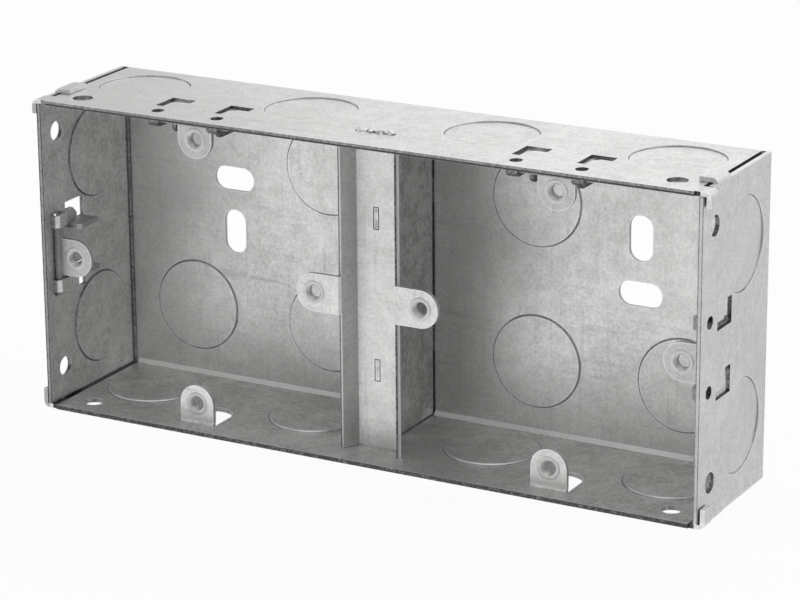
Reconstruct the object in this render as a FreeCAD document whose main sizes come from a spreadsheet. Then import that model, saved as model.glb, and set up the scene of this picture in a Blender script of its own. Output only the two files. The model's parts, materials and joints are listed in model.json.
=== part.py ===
import FreeCAD, Part
import math
import os
from types import SimpleNamespace

import Sketcher
from FreeCAD import Rotation, Vector

# Flush back box for two single accessories, side by side. One folded steel shell, a divider made of a
# channel and a partition plate, and four lugs that slide in lanced loops of the walls.
# Millimetres. X runs along the box, Y from the open front to the back plate, Z up.
# The origin is under the middle of the box, on the surface that its bottom flaps stand on.

DOCUMENT = FreeCAD.newDocument("flush_back_box")
SHEET = DOCUMENT.addObject("Spreadsheet::Sheet", "sizes")

# Driving dimensions: alias, millimetres, what it is
DIMENSIONS = [
    ("sheet", 1.0, "thickness of the shell's steel"),
    ("box_width", 158.0, "over the outside of the end walls"),
    ("box_height", 71.0, "over the outside of the top and bottom walls"),
    ("box_depth", 35.0, "front edge to the outside of the back plate"),
    ("fold_radius", 1.5, "outside radius of every fold in the shell"),
    ("lap_gap", 0.1, "clearance between lapped sheets and round tenons"),
    ("long_wall_hole", 5.35, "outside of a long wall to the screw holes of its lugs, 60.3 from top to bottom"),
    ("end_wall_hole", 5.85, "outside of an end wall to the screw hole of its lug"),
    ("divider_hole", 12.85, "middle of the box to the divider's screw holes, 60.3 from the end walls'"),
    ("corner_slit", 1.1, "open slit between a long wall's end and the end wall beside it"),
    ("tab_setback", 0.4, "front edge to the tabs at the front corners"),
    ("tab_width", 3.8, "tabs of the long walls, front to back"),
    ("top_tab_reach", 3.3, "how far a tab of the top wall laps an end wall"),
    ("bottom_tab_reach", 4.3, "how far a tab of the bottom wall laps an end wall"),
    ("tab_spring", 0.4, "gap left under a sprung tab"),
    ("flap_setback", 7.0, "front edge to the flaps of the end walls"),
    ("flap_width", 6.2, "flaps of the end walls, front to back"),
    ("flap_reach", 4.2, "how far a flap laps a long wall"),
    ("fixing_hole", 4.5, "diameter of the plain holes near the front corners"),
    ("fixing_inset", 8.3, "fixing hole to the outside of the wall round the corner"),
    ("fixing_setback", 5.8, "front edge to the fixing holes"),
    ("knockout", 20.4, "diameter of a knockout"),
    ("knockout_step", 0.35, "how far a knockout is pushed in"),
    ("knockout_setback", 20.5, "front edge to the wall knockouts' middles"),
    ("outer_knockout_inset", 14.8, "outside of an end wall to the outer knockouts of a long wall"),
    ("inner_knockout_across", 21.8, "middle of the box to the inner knockouts of a long wall"),
    ("end_knockout_offset", 19.5, "mid height to an end wall's knockout"),
    ("back_knockout_across", 17.3, "bay's middle to a back knockout, along the box"),
    ("back_knockout_up", 18.2, "mid height to a back knockout"),
    ("back_slot_length", 10.2, "fixing slot in the back plate, end to end"),
    ("back_slot_width", 5.5, "fixing slot in the back plate, across"),
    ("back_slot_across", 50.0, "middle of the box to the back slots"),
    ("upper_slot_up", 12.8, "mid height to the upper back slots"),
    ("lower_slot_up", 0.5, "mid height to the lower back slots"),
    ("lug_sheet", 1.0, "thickness of the lugs"),
    ("lug_width", 8.4, "width of a lug, and twice its end radius"),
    ("lug_bend", 0.6, "inside radius of a lug's bend"),
    ("screw_hole", 3.5, "hole in a lug, at the full diameter of the accessory's screw"),
    ("fixed_lug_setback", 5.0, "front edge to the face of a fixed lug"),
    ("slide_lug_setback", 4.2, "front edge to the face of a sliding lug"),
    ("lug_relief", 0.5, "clearance left round a lug that is bent out of a wall"),
    ("loop_pitch", 14.8, "between the two loops that hold a sliding lug"),
    ("loop_width", 2.7, "loop, along the slide"),
    ("loop_setback", 2.85, "front edge to the loop's opening"),
    ("loop_opening", 2.9, "loop's opening, front to back"),
    ("loop_bevel", 0.8, "cut corners of the loop's opening"),
    ("loop_sheet", 0.8, "thickness of a drawn loop"),
    ("wing_span", 17.8, "sliding lug's foot, end to end"),
    ("foot_depth", 3.7, "sliding lug's foot, front to back"),
    ("slide_gap", 0.12, "clearance round a sliding foot"),
    ("stop_gap", 0.1, "clearance left at each end of a slide"),
    ("left_lug_drop", 1.0, "left lug below mid height, as it stands"),
    ("lance_setback", 15.1, "front edge to the rear edge of the lanced windows"),
    ("lance_width", 5.9, "lanced window, along the slide"),
    ("lance_band", 2.7, "depth of a lanced window's band"),
    ("lance_leg", 1.9, "width of a lanced window's leg"),
    ("lance_reach", 7.2, "length of a lanced window's leg"),
    ("lance_bevel", 1.4, "bevel between a lanced window's band and its leg"),
    ("guide_setback", 7.3, "front edge to the guides bent in beside a sliding lug"),
    ("guide_depth", 7.2, "guide, front to back"),
    ("guide_height", 4.3, "how far a guide stands in from its wall"),
    ("guide_offset", 5.4, "bay's middle to the middle of a guide"),
    ("guide_bevel", 0.9, "cut corner at a guide's front"),
    ("web_width", 9.1, "flat of the divider's web"),
    ("web_setback", 9.5, "front edge to the face of the web"),
    ("lip_depth", 3.7, "how far the lips come forward of the web"),
    ("lip_splay", 1.9, "how far each lip leans outwards"),
    ("web_tab", 8.0, "width of the web's tabs in the long walls"),
    ("tenon_height", 4.6, "height of the partition's tenons"),
    ("tenon_gap", 0.22, "clearance round a tenon"),
    ("tenon_offset", 16.9, "mid height to the middle of a tenon"),
    ("partition_sheet", 1.0, "thickness of the partition"),
    ("partition_gap", 0.35, "from the partition to the back plate and the long walls"),
]

for row, (alias, number, note) in enumerate(DIMENSIONS, start=1):
    SHEET.set("A%d" % row, note)
    SHEET.set("B%d" % row, str(number))
    SHEET.setAlias("B%d" % row, alias)
DOCUMENT.recompute()


class Size:
    """A length worked out from the sheet: its number, and the text that binds a property to it."""

    def __init__(self, text, number):
        self.text = text
        self.number = number

    def __add__(self, other):
        other = as_size(other)
        return Size("(%s + %s)" % (self.text, other.text), self.number + other.number)

    def __sub__(self, other):
        other = as_size(other)
        return Size("(%s - %s)" % (self.text, other.text), self.number - other.number)

    def __mul__(self, other):
        other = as_size(other)
        return Size("(%s * %s)" % (self.text, other.text), self.number * other.number)

    def __truediv__(self, other):
        other = as_size(other)
        return Size("(%s / %s)" % (self.text, other.text), self.number / other.number)

    def __neg__(self):
        return Size("(0 - %s)" % self.text, -self.number)


def as_size(value):
    """Takes a plain number as a size."""
    if isinstance(value, Size):
        return value
    return Size("(%s)" % value, float(value))


def hypotenuse(across, along):
    """Length of a slope with this run across and along."""
    text = "sqrt(%s * %s + %s * %s)" % (across.text, across.text, along.text, along.text)
    return Size(text, math.hypot(across.number, along.number))


cell = SimpleNamespace(**{alias: Size("sizes." + alias, number) for alias, number, note in DIMENSIONS})

X, Y, Z = Vector(1, 0, 0), Vector(0, 1, 0), Vector(0, 0, 1)
SIDES = (-1, 1)

# Planes that the pieces are placed from
END = cell.box_width / 2
FRONT = -cell.box_depth / 2
BACK = cell.box_depth / 2
HALF_HEIGHT = cell.box_height / 2
MIDDLE = HALF_HEIGHT + cell.sheet + cell.lap_gap
BAY = (END - cell.end_wall_hole + cell.divider_hole) / 2
INNER_END = END - cell.sheet
INNER_HALF_HEIGHT = HALF_HEIGHT - cell.sheet
INNER_BACK = BACK - cell.sheet
OVERCUT = cell.sheet * 2


def bind(feature, name, value):
    """Ties one property of a feature to the sheet."""
    feature.setExpression(name, as_size(value).text)


def put(feature, place, rotation=Rotation()):
    """Places a feature at a point worked out from the sheet."""
    feature.Placement = FreeCAD.Placement(Vector(*[as_size(value).number for value in place]), rotation)
    for axis, value in zip("xyz", place):
        bind(feature, "Placement.Base." + axis, value)


def block(name, low, high):
    """A box between two opposite corners."""
    feature = DOCUMENT.addObject("Part::Box", name)
    for side, near, far in zip(("Length", "Width", "Height"), low, high):
        bind(feature, side, as_size(far) - near)
    put(feature, low)
    return feature


def rod(name, start, along, length, diameter):
    """A cylinder from a point along a direction."""
    feature = DOCUMENT.addObject("Part::Cylinder", name)
    bind(feature, "Radius", as_size(diameter) / 2)
    bind(feature, "Height", length)
    put(feature, start, Rotation(Z, along))
    return feature


def hold_point(sketch, segment, end, point):
    """Fixes one end of a sketch's segment at a point worked out from the sheet."""
    for kind, value in zip(("DistanceX", "DistanceY"), point):
        value = as_size(value)
        index = sketch.addConstraint(Sketcher.Constraint(kind, segment, end, value.number))
        sketch.setExpression("Constraints[%d]" % index, value.text)


def outline(name, corners, place, across, upwards):
    """A closed sketch. A corner is (x, y), or (x, y, centre, turn) where an arc leads to the next corner."""
    start, end, middle = 1, 2, 3
    sketch = DOCUMENT.addObject("Sketcher::SketchObject", name)
    put(sketch, place, Rotation(across, upwards, across.cross(upwards), "XYZ"))
    points = [Vector(as_size(corner[0]).number, as_size(corner[1]).number, 0) for corner in corners]
    heads = []
    for number, corner in enumerate(corners):
        here, there = points[number], points[(number + 1) % len(points)]
        if len(corner) == 2:
            segment = sketch.addGeometry(Part.LineSegment(here, there))
            heads.append((segment, start, end))
            continue
        centre = Vector(as_size(corner[2][0]).number, as_size(corner[2][1]).number, 0)
        first, last = (here, there) if corner[3] > 0 else (there, here)
        circle = Part.Circle(centre, Z, (here - centre).Length)
        angles = [math.atan2(point.y - centre.y, point.x - centre.x) for point in (first, last)]
        segment = sketch.addGeometry(Part.ArcOfCircle(circle, *angles))
        heads.append((segment, start, end) if corner[3] > 0 else (segment, end, start))
    for number, corner in enumerate(corners):
        segment, head, tail = heads[number]
        following = heads[(number + 1) % len(heads)]
        hold_point(sketch, segment, head, corner[:2])
        sketch.addConstraint(Sketcher.Constraint("Coincident", segment, tail, following[0], following[1]))
        if len(corner) > 2:
            chord = points[(number + 1) % len(points)] - points[number]
            flat = abs(chord.x) >= abs(chord.y)
            value = as_size(corner[2][1 if flat else 0])
            kind = "DistanceY" if flat else "DistanceX"
            index = sketch.addConstraint(Sketcher.Constraint(kind, segment, middle, value.number))
            sketch.setExpression("Constraints[%d]" % index, value.text)
    return sketch


def prism(name, corners, place, across, upwards, along, length):
    """An outline drawn at a point on two directions, and extruded along a third."""
    feature = DOCUMENT.addObject("Part::Extrusion", name)
    feature.Base = outline(name + "_outline", corners, place, across, upwards)
    feature.DirMode = "Custom"
    feature.Dir = along
    feature.Solid = True
    bind(feature, "LengthFwd", length)
    return feature


def fuse(name, features):
    """Joins features into one."""
    feature = DOCUMENT.addObject("Part::MultiFuse", name)
    feature.Shapes = features
    feature.Refine = True
    return feature


def cut(name, base, tools):
    """Takes the tools away from a base."""
    feature = DOCUMENT.addObject("Part::Cut", name)
    feature.Base = base
    feature.Tool = tools[0] if len(tools) == 1 else fuse(name + "_tools", tools)
    feature.Refine = True
    return feature


def common(name, base, tool):
    """Keeps what two features share."""
    feature = DOCUMENT.addObject("Part::Common", name)
    feature.Base = base
    feature.Tool = tool
    return feature


def rounded(name, base, radius, chosen):
    """Rounds the edges of a feature that the test picks."""
    DOCUMENT.recompute()
    feature = DOCUMENT.addObject("Part::Fillet", name)
    feature.Base = base
    numbers = [number for number, edge in enumerate(base.Shape.Edges, start=1) if chosen(edge)]
    feature.Edges = [(number, radius.number, radius.number) for number in numbers]
    return feature


class Wall:
    """A wall's own directions: slide along it, depth back from the front edge, inward from its outside."""

    def __init__(self, origin, slide, inward):
        self.origin = origin
        self.slide = slide
        self.inward = inward

    def point(self, slide, depth, inward):
        """The place of a point given in the wall's own directions."""
        place = []
        for axis in range(3):
            value = as_size(self.origin[axis])
            for direction, amount in ((self.slide, slide), (Y, depth), (self.inward, inward)):
                if direction[axis] > 0:
                    value = value + amount
                elif direction[axis] < 0:
                    value = value - amount
            place.append(value)
        return place

    def block(self, name, low, high):
        """A box given in the wall's own directions."""
        first, second = self.point(*low), self.point(*high)
        swapped = [as_size(a).number > as_size(b).number for a, b in zip(first, second)]
        corners = [(b, a) if swap else (a, b) for a, b, swap in zip(first, second, swapped)]
        return block(name, [pair[0] for pair in corners], [pair[1] for pair in corners])

    def rod(self, name, start, length, diameter):
        """A cylinder that runs back from the front."""
        return rod(name, self.point(*start), Y, length, diameter)

    def plate(self, name, corners, depth, thickness, offset=0):
        """A plate parallel to the front, drawn on slide and inward."""
        return prism(name, corners, self.point(offset, depth, 0), self.slide, self.inward, Y, thickness)

    def bent(self, name, corners, start, length):
        """A bent strip, drawn on depth and inward, that runs along the slide."""
        return prism(name, corners, self.point(start, 0, 0), Y, self.inward, self.slide, length)

    def window(self, name, corners, offset):
        """A cut right through the wall, drawn on slide and depth."""
        place = self.point(offset, 0, -OVERCUT)
        return prism(name, corners, place, self.slide, Y, self.inward, OVERCUT + cell.sheet * 1.5)


def long_wall(bay, upper):
    """The top or bottom wall at a bay."""
    side = 1 if upper else -1
    return Wall((BAY * bay, FRONT, MIDDLE + HALF_HEIGHT * side), X, Z * -side)


def end_wall(side):
    """An end wall. Its slide runs up at the left end and down at the right end."""
    return Wall((END * side, FRONT, MIDDLE), Z * -side, X * -side)


BOTTOM_WALLS = [("left_bottom", long_wall(-1, False)), ("right_bottom", long_wall(1, False))]

# The walls that hold a sliding lug: name, wall, the side of its windows' legs, from wall to screw hole
SLIDE_WALLS = [
    ("top_left", long_wall(-1, True), -1, cell.long_wall_hole),
    ("top_right", long_wall(1, True), -1, cell.long_wall_hole),
    ("left", end_wall(-1), 1, cell.end_wall_hole),
    ("right", end_wall(1), 1, cell.end_wall_hole),
]

# How far each sliding lug stands from its bay's middle. Half the free run takes it to a stop
HALF_RUN = (cell.loop_pitch - cell.loop_width - cell.lug_width) / 2 - cell.stop_gap
LUG_SHIFTS = {
    "top_left": HALF_RUN,
    "top_right": HALF_RUN,
    "left": -cell.left_lug_drop,
    "right": HALF_RUN,
}


def box_core():
    """The folded tray before anything is cut: rounded at the back and open in front."""
    low = (-END, FRONT, MIDDLE - HALF_HEIGHT)
    high = (END, BACK, MIDDLE + HALF_HEIGHT)
    solid = block("tray_block", low, high)
    at_back = BACK.number
    tray = rounded("tray_folds", solid, cell.fold_radius,
                   lambda edge: all(abs(vertex.Y - at_back) < 1e-6 for vertex in edge.Vertexes))
    inner_radius = cell.fold_radius - cell.sheet
    low = (-INNER_END, FRONT - OVERCUT, MIDDLE - INNER_HALF_HEIGHT)
    high = (INNER_END, INNER_BACK, MIDDLE + INNER_HALF_HEIGHT)
    space = block("cavity_block", low, high)
    at_floor = INNER_BACK.number
    cavity = rounded("cavity_folds", space, inner_radius,
                     lambda edge: all(abs(vertex.Y - at_floor) < 1e-6 for vertex in edge.Vertexes))
    return cut("tray", tray, [cavity])


def corner_slits():
    """The open slits at the ends of the long walls, and the notches where their tabs pass over the end walls."""
    slits = []
    for side in SIDES:
        for level in SIDES:
            mark = "%s_%s" % (side_name(side), level_name(level))
            far = MIDDLE + (HALF_HEIGHT + OVERCUT) * level
            near = MIDDLE + (INNER_HALF_HEIGHT - cell.lap_gap) * level
            zs = (far, near) if level < 0 else (near, far)
            inner = (INNER_END - cell.corner_slit) * side
            wall = INNER_END * side
            outer = (END + OVERCUT) * side
            xs = (wall, inner) if side < 0 else (inner, wall)
            slits.append(block("slit_" + mark, (xs[0], FRONT - OVERCUT, zs[0]), (xs[1], INNER_BACK, zs[1])))
            xs = (outer, inner) if side < 0 else (inner, outer)
            end = FRONT + cell.tab_setback + cell.tab_width + cell.lug_relief
            slits.append(block("notch_" + mark, (xs[0], FRONT - OVERCUT, zs[0]), (xs[1], end, zs[1])))
    return slits


def side_name(side):
    return "left" if side < 0 else "right"


def level_name(level):
    return "bottom" if level < 0 else "top"


def fixing_holes():
    """Plain holes near the front corners, drilled through both opposite walls at once."""
    holes = []
    depth = FRONT + cell.fixing_setback
    for side in SIDES:
        start = (-END - OVERCUT, depth, MIDDLE + (HALF_HEIGHT - cell.fixing_inset) * side)
        holes.append(rod("end_holes_" + level_name(side), start, X, cell.box_width + OVERCUT * 2, cell.fixing_hole))
        start = ((END - cell.fixing_inset) * side, depth, MIDDLE - HALF_HEIGHT - OVERCUT)
        holes.append(rod("long_holes_" + side_name(side), start, Z, cell.box_height + OVERCUT * 2, cell.fixing_hole))
    return holes


def knockout_places():
    """Each knockout: name, the middle of its outer face, and the direction into the box."""
    depth = FRONT + cell.knockout_setback
    places = []
    for bay in SIDES:
        for level in SIDES:
            up = MIDDLE + HALF_HEIGHT * level
            name = "%s_%s" % (level_name(level), side_name(bay))
            outer = (END - cell.outer_knockout_inset) * bay
            places.append((name + "_outer", (outer, depth, up), Z * -level))
            places.append((name + "_inner", (cell.inner_knockout_across * bay, depth, up), Z * -level))
    for side in SIDES:
        for level in SIDES:
            up = MIDDLE + cell.end_knockout_offset * level
            places.append(("%s_end_%s" % (side_name(side), level_name(level)), (END * side, depth, up), X * -side))
    for bay in SIDES:
        for hand, level in ((bay, -1), (-bay, -1), (-bay, 1)):
            across = BAY * bay + cell.back_knockout_across * hand
            up = MIDDLE + cell.back_knockout_up * level
            name = "back_%s_%s_%s" % (side_name(bay), side_name(hand), level_name(level))
            places.append((name, (across, BACK, up), Y * -1))
    return places


def moved(place, direction, amount):
    """A place shifted along one axis direction."""
    return [as_size(value) + as_size(amount) * int(step) for value, step in zip(place, direction)]


def knockout_features():
    """The recess outside and the step inside of every half-sheared knockout."""
    recesses = []
    steps = []
    for name, place, inward in knockout_places():
        above = moved(place, inward, -OVERCUT)
        recesses.append(rod("recess_" + name, above, inward, OVERCUT + cell.knockout_step, cell.knockout))
        inside = moved(place, inward, cell.knockout_step)
        steps.append(rod("step_" + name, inside, inward, cell.sheet, cell.knockout))
    return recesses, steps


def slot_outline(length, width):
    """An upright slot with round ends, about its own middle."""
    half = width / 2
    run = (length - width) / 2
    return [(half, -run), (half, run, (0, run), 1), (-half, run), (-half, -run, (0, -run), 1)]


def back_slots():
    """Fixing slots through the back plate, one across and one upright in each bay."""
    slots = []
    corners = slot_outline(cell.back_slot_length, cell.back_slot_width)
    for bay in SIDES:
        for level, raised in (("upper", cell.upper_slot_up), ("lower", cell.lower_slot_up)):
            lying = (level == "upper") == (bay < 0)
            across, upwards = (Z, X) if lying else (X, Z)
            place = (cell.back_slot_across * bay, INNER_BACK - OVERCUT, MIDDLE + raised)
            name = "%s_slot_%s" % (level, side_name(bay))
            slots.append(prism(name, corners, place, across, upwards, Y, OVERCUT * 2 + cell.sheet))
    return slots


def divider_slots():
    """Slots in the long walls for the web's tabs, and in the back plate for the partition's tenons."""
    slots = []
    half = cell.web_tab / 2 + cell.lap_gap
    near = FRONT + cell.web_setback - cell.lap_gap
    far = FRONT + cell.web_setback + cell.sheet + cell.lap_gap
    for level in SIDES:
        name = "web_slot_" + level_name(level)
        outer = MIDDLE + (HALF_HEIGHT + OVERCUT) * level
        inner = MIDDLE + (INNER_HALF_HEIGHT - OVERCUT) * level
        zs = (outer, inner) if level < 0 else (inner, outer)
        slots.append(block(name, (-half, near, zs[0]), (half, far, zs[1])))
    half = cell.partition_sheet / 2 + cell.tenon_gap
    rise = cell.tenon_height / 2 + cell.tenon_gap
    for level in SIDES:
        middle = MIDDLE + cell.tenon_offset * level
        low = (-half, INNER_BACK - OVERCUT, middle - rise)
        high = (half, BACK + OVERCUT, middle + rise)
        slots.append(block("tenon_slot_" + level_name(level), low, high))
    return slots


def lance_outline(hand):
    """A lanced window on slide and depth: a band at the rear with a leg forward at one end."""
    half = cell.lance_width / 2
    root = cell.lance_leg - half
    across = [-half, half, half, root + cell.lance_bevel, root, root, -half]
    reach = [0, 0, cell.lance_band, cell.lance_band, cell.lance_band + cell.lance_bevel, cell.lance_reach,
             cell.lance_reach]
    return [(as_size(side) * -hand, cell.lance_setback - length) for side, length in zip(across, reach)]


def guide_outline():
    """A guide's outline on depth and inward: a plate that stands in from the wall, with a cut front corner."""
    near = cell.guide_setback
    far = near + cell.guide_depth
    root = cell.sheet / 2
    top = cell.sheet + cell.guide_height
    return [(near, root), (far, root), (far, top), (near + cell.guide_bevel, top), (near, top - cell.guide_bevel)]


def loop_window():
    """A loop's opening on slide and depth, with its corners cut off."""
    half = cell.loop_width / 2
    near = cell.loop_setback
    far = near + cell.loop_opening
    bevel = cell.loop_bevel
    return [
        (bevel - half, near), (half - bevel, near), (half, near + bevel), (half, far - bevel), (half - bevel, far),
        (bevel - half, far), (-half, far - bevel), (-half, near + bevel),
    ]


def loop_outline():
    """A loop's section, on depth and inward: a strap drawn in from the wall far enough to clear a lug's foot."""
    near = cell.loop_setback
    far = near + cell.loop_opening
    under = cell.sheet + cell.lug_sheet + cell.slide_gap * 2
    over = under + cell.loop_sheet
    root = cell.sheet / 2
    return [
        (near - cell.loop_sheet, root), (near, root), (near, under), (far, under), (far, root),
        (far + cell.loop_sheet, root), (far + cell.loop_sheet, under), (far, over), (near, over),
        (near - cell.loop_sheet, under),
    ]


def slide_lances():
    """What is lanced out of a wall to hold a sliding lug: two loops in front, and two guides behind them."""
    cuts = []
    pieces = []
    half = cell.loop_width / 2
    for name, wall, hand, hole in SLIDE_WALLS:
        for side in SIDES:
            mark = "%s_%s" % (name, side_name(side))
            middle = cell.loop_pitch / 2 * side
            cuts.append(wall.window("loop_cut_" + mark, loop_window(), middle))
            pieces.append(wall.bent("loop_" + mark, loop_outline(), middle - half, cell.loop_width))
            cuts.append(wall.window("lance_cut_" + mark, lance_outline(hand), middle))
            start = cell.guide_offset * side - cell.sheet / 2
            pieces.append(wall.bent("guide_" + mark, guide_outline(), start, cell.sheet))
    return cuts, pieces


def tab_outline(reach):
    """A tab of a long wall folded over an end wall, from the box's corner: drawn outwards and inwards of it."""
    top = as_size(0)
    under = -cell.sheet
    inner = cell.tab_spring
    outer = cell.tab_spring + cell.sheet
    bend = cell.fold_radius
    root = -cell.sheet * 2 - cell.corner_slit
    return [
        (root, top), (root, under), (inner, under), (inner, -reach),
        (outer, -reach), (outer, -bend, (outer - bend, -bend), 1), (outer - bend, top),
    ]


def flap_outline():
    """A flap of an end wall folded over a long wall, from the box's corner."""
    outer = as_size(0)
    inner = -cell.sheet
    under = cell.lap_gap
    over = cell.lap_gap + cell.sheet
    bend = cell.fold_radius
    return [
        (outer, -cell.sheet * 2), (outer, over - bend, (outer - bend, over - bend), 1), (outer - bend, over),
        (-cell.flap_reach, over), (-cell.flap_reach, under), (inner, under), (inner, -cell.sheet * 2),
    ]


def corner_laps():
    """The tabs and flaps that lap each other at the four corners."""
    laps = []
    for side in SIDES:
        for level in SIDES:
            mark = "%s_%s" % (side_name(side), level_name(level))
            corner = (END * side, MIDDLE + HALF_HEIGHT * level)
            tab_place = (corner[0], FRONT + cell.tab_setback, corner[1])
            reach = cell.bottom_tab_reach if level < 0 else cell.top_tab_reach
            laps.append(prism("tab_" + mark, tab_outline(reach), tab_place, X * side, Z * level, Y, cell.tab_width))
            flap_place = (corner[0], FRONT + cell.flap_setback, corner[1])
            laps.append(prism("flap_" + mark, flap_outline(), flap_place, X * side, Z * level, Y, cell.flap_width))
    return laps


def lug_face(hole, root):
    """A lug's face on slide and inward: straight sides from its root, and a round end about its screw hole."""
    half = cell.lug_width / 2
    return [(half, root), (half, hole, (0, hole), 1), (-half, hole), (-half, root)]


def lug_bend(face, under, tail):
    """A lug bent up from its foot, on depth and inward. The foot runs back to the tail."""
    back = face + cell.lug_sheet
    over = under + cell.lug_sheet
    bend = cell.lug_bend + cell.lug_sheet
    tip = cell.box_height / 4
    return [
        (back, tip), (face, tip), (face, under + bend, (face + bend, under + bend), 1), (face + bend, under),
        (tail, under), (tail, over), (face + bend, over, (face + bend, over + cell.lug_bend), -1),
        (back, over + cell.lug_bend),
    ]


def bottom_lugs():
    """The two lugs that are cut out of the bottom wall and bent up, with the windows they leave."""
    windows = []
    lugs = []
    bores = []
    face = cell.fixed_lug_setback
    bend = cell.lug_bend + cell.lug_sheet
    half = cell.lug_width / 2 + cell.lug_relief
    hole = cell.long_wall_hole
    for name, wall in BOTTOM_WALLS:
        end = face + hole + cell.lug_relief
        start = face - cell.lug_bend
        corners = [(half, start), (half, end, (0, end), 1), (-half, end), (-half, start)]
        windows.append(wall.window(name + "_window", corners, 0))
        profile = [
            (face + cell.lug_sheet, hole * 3), (face, hole * 3),
            (face, cell.sheet + cell.lug_bend, (face - cell.lug_bend, cell.sheet + cell.lug_bend), -1),
            (face - cell.lug_bend, cell.sheet), (face - bend, cell.sheet), (face - bend, 0),
            (face - cell.lug_bend, 0, (face - cell.lug_bend, bend), 1), (face + cell.lug_sheet, bend),
        ]
        strip = wall.bent(name + "_strip", profile, -cell.lug_width / 2, cell.lug_width)
        shape = wall.plate(name + "_face", lug_face(hole, -cell.sheet), face - bend * 2, bend * 4)
        lugs.append(common(name + "_lug", strip, shape))
        bores.append(wall.rod(name + "_bore", (0, face - cell.sheet, hole), cell.lug_sheet * 3, cell.screw_hole))
    return windows, lugs, bores


def box_shell():
    """The folded shell with everything that is cut, drawn or bent out of it."""
    recesses, steps = knockout_features()
    lances, lance_pieces = slide_lances()
    windows, lugs, bores = bottom_lugs()
    cuts = corner_slits() + fixing_holes() + recesses + back_slots() + divider_slots() + lances + windows
    walls = cut("walls", box_core(), cuts)
    whole = fuse("folded", [walls] + steps + lance_pieces + corner_laps() + lugs)
    return cut("shell", whole, bores)


def channel_section():
    """The divider's section: a flat web with two splayed lips, one thickness of sheet."""
    slope = hypotenuse(cell.lip_splay, cell.lip_depth)
    edge_across = cell.sheet * cell.lip_depth / slope
    edge_back = cell.sheet * cell.lip_splay / slope
    inner = cell.web_width / 2
    outer = inner + cell.sheet * (slope - cell.lip_splay) / cell.lip_depth
    tip = inner + cell.lip_splay
    near = cell.web_setback - cell.lip_depth
    web = cell.web_setback
    right = [(outer, web + cell.sheet), (tip + edge_across, near + edge_back), (tip, near), (inner, web)]
    left = [(-across, depth) for across, depth in reversed(right)]
    return right + left


def divider_lugs():
    """The two lugs bent outwards from the lips at mid height."""
    lugs = []
    bores = []
    face = cell.fixed_lug_setback
    behind = face + cell.lug_sheet
    slant = cell.lip_splay / cell.lip_depth
    inner = cell.web_width / 2
    hole = cell.divider_hole
    half = cell.lug_width / 2
    near = cell.web_setback - cell.lip_depth
    slope = hypotenuse(cell.lip_splay, cell.lip_depth)
    for side in SIDES:
        name = "divider_%s" % side_name(side)
        start = inner + slant * (cell.web_setback - face)
        root = inner + slant * (cell.web_setback - near - cell.sheet)
        lap = root + cell.sheet * slope / cell.lip_depth
        end = hole + half
        corners = [(start, face), (end, face), (end, behind), (lap, behind), (lap, near + cell.sheet),
                   (root, near + cell.sheet)]
        strip = prism(name + "_strip", corners, (0, FRONT, MIDDLE - half), X * side, Y, Z, cell.lug_width)
        corners = [(inner, -half), (hole, -half, (hole, 0), 1), (hole, half), (inner, half)]
        shape = prism(name + "_face", corners, (0, FRONT, MIDDLE), X * side, Z, Y, cell.box_depth / 2)
        lugs.append(common(name + "_lug", strip, shape))
        place = (hole * side, FRONT + face - cell.sheet, MIDDLE)
        bores.append(rod(name + "_bore", place, Y, cell.lug_sheet * 3, cell.screw_hole))
    return lugs, bores


def divider_channel():
    """The channel across the front of the divider, with its tabs, its lugs and the partition's slots."""
    height = cell.box_height - cell.sheet * 2 - cell.lap_gap * 2
    strip = prism("channel_strip", channel_section(), (0, FRONT, MIDDLE - height / 2), X, Y, Z, height)
    near = FRONT + cell.web_setback
    tab = block("web_tabs", (-cell.web_tab / 2, near, MIDDLE - HALF_HEIGHT),
                (cell.web_tab / 2, near + cell.sheet, MIDDLE + HALF_HEIGHT))
    lugs, bores = divider_lugs()
    slots = []
    half = cell.partition_sheet / 2 + cell.tenon_gap
    rise = cell.tenon_height / 2 + cell.tenon_gap
    for level in SIDES:
        middle = MIDDLE + cell.tenon_offset * level
        low = (-half, near - OVERCUT, middle - rise)
        high = (half, near + OVERCUT, middle + rise)
        slots.append(block("web_window_" + level_name(level), low, high))
    whole = fuse("channel_whole", [strip, tab] + lugs)
    return cut("channel", whole, slots + bores)


def partition_plate():
    """The partition behind the web, with tenons through the web and through the back plate."""
    half = cell.partition_sheet / 2
    near = FRONT + cell.web_setback + cell.sheet + cell.lap_gap
    far = INNER_BACK - cell.partition_gap
    rise = INNER_HALF_HEIGHT - cell.partition_gap
    pieces = [block("partition_sheet_plate", (-half, near, MIDDLE - rise), (half, far, MIDDLE + rise))]
    for level in SIDES:
        middle = MIDDLE + cell.tenon_offset * level
        low = (-half, FRONT + cell.web_setback, middle - cell.tenon_height / 2)
        high = (half, BACK, middle + cell.tenon_height / 2)
        pieces.append(block("tenon_" + level_name(level), low, high))
    return fuse("partition", pieces)


def sliding_lug(name, wall, hole):
    """A lug bent up from a foot. The foot's wings run under the wall's two loops."""
    shift = LUG_SHIFTS[name]
    under = cell.sheet + cell.slide_gap
    over = under + cell.lug_sheet
    near = cell.loop_setback + cell.slide_gap
    far = cell.loop_setback + cell.loop_opening - cell.slide_gap
    face = cell.slide_lug_setback
    half = cell.lug_width / 2
    span = cell.wing_span / 2
    wings = wall.block(name + "_wings", (shift - span, near, under), (shift + span, far, over))
    strip = wall.bent(name + "_strip", lug_bend(face, under, near + cell.foot_depth), shift - half, cell.lug_width)
    shape = wall.plate(name + "_face", lug_face(hole, 0), 0, cell.box_depth / 2, shift)
    whole = fuse(name + "_whole", [common(name + "_lug_plate", strip, shape), wings])
    bore = wall.rod(name + "_bore", (shift, face - cell.sheet, hole), cell.lug_sheet * 3, cell.screw_hole)
    return cut(name + "_piece", whole, [bore])


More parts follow.
